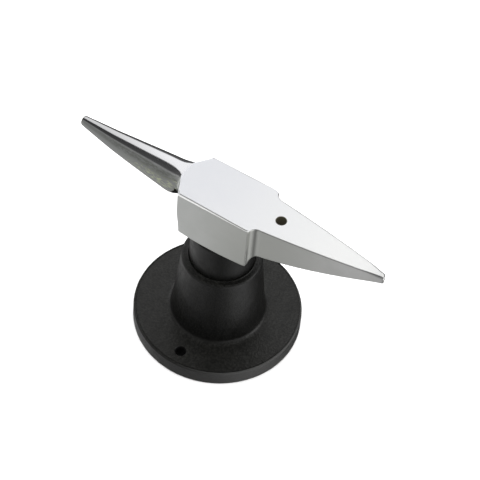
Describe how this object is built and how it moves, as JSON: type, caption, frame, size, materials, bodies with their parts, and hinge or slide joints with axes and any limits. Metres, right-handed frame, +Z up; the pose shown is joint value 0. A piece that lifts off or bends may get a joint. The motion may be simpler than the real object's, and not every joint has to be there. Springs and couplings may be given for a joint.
{
  "type": "bench anvil",
  "caption": "Small double-horn bench anvil: a plated steel head with a round horn and a flat horn, on a black round neck bolted into a flanged base.",
  "frame": {"origin": "centre of the base's underside, on the bench surface, midway between the two screw holes and on the neck's axis", "axes": "+Z up, out of the working face; +X along the flat horn, -X along the round horn; the two base screw holes lie on the Y axis"},
  "size_m": [0.1261, 0.0634, 0.0732],
  "materials": {
    "black_casting": "semi-gloss black paint over fine sand-cast skin",
    "black_post": "semi-gloss black paint over turned steel",
    "plated_steel": "bright nickel plating, satin on the face, polished on the round horn",
    "zinc_bolt": "zinc plated",
    "spring_steel": "dark spring steel, oiled",
    "zinc_washer": "zinc plated"
  },
  "bodies": {
    "stand": {"base": "black_casting"},
    "anvil": {"head": "plated_steel", "neck": "black_post", "clamp_bolt": "zinc_bolt", "spring_washer": "spring_steel", "flat_washer": "zinc_washer"}
  },
  "joints": [
    {"name": "head_swivel", "type": "hinge", "parent": "stand", "child": "anvil", "pos_m": [0, 0, 0.0274], "axis": [0, 0, 1], "continuous": true}
  ]
}
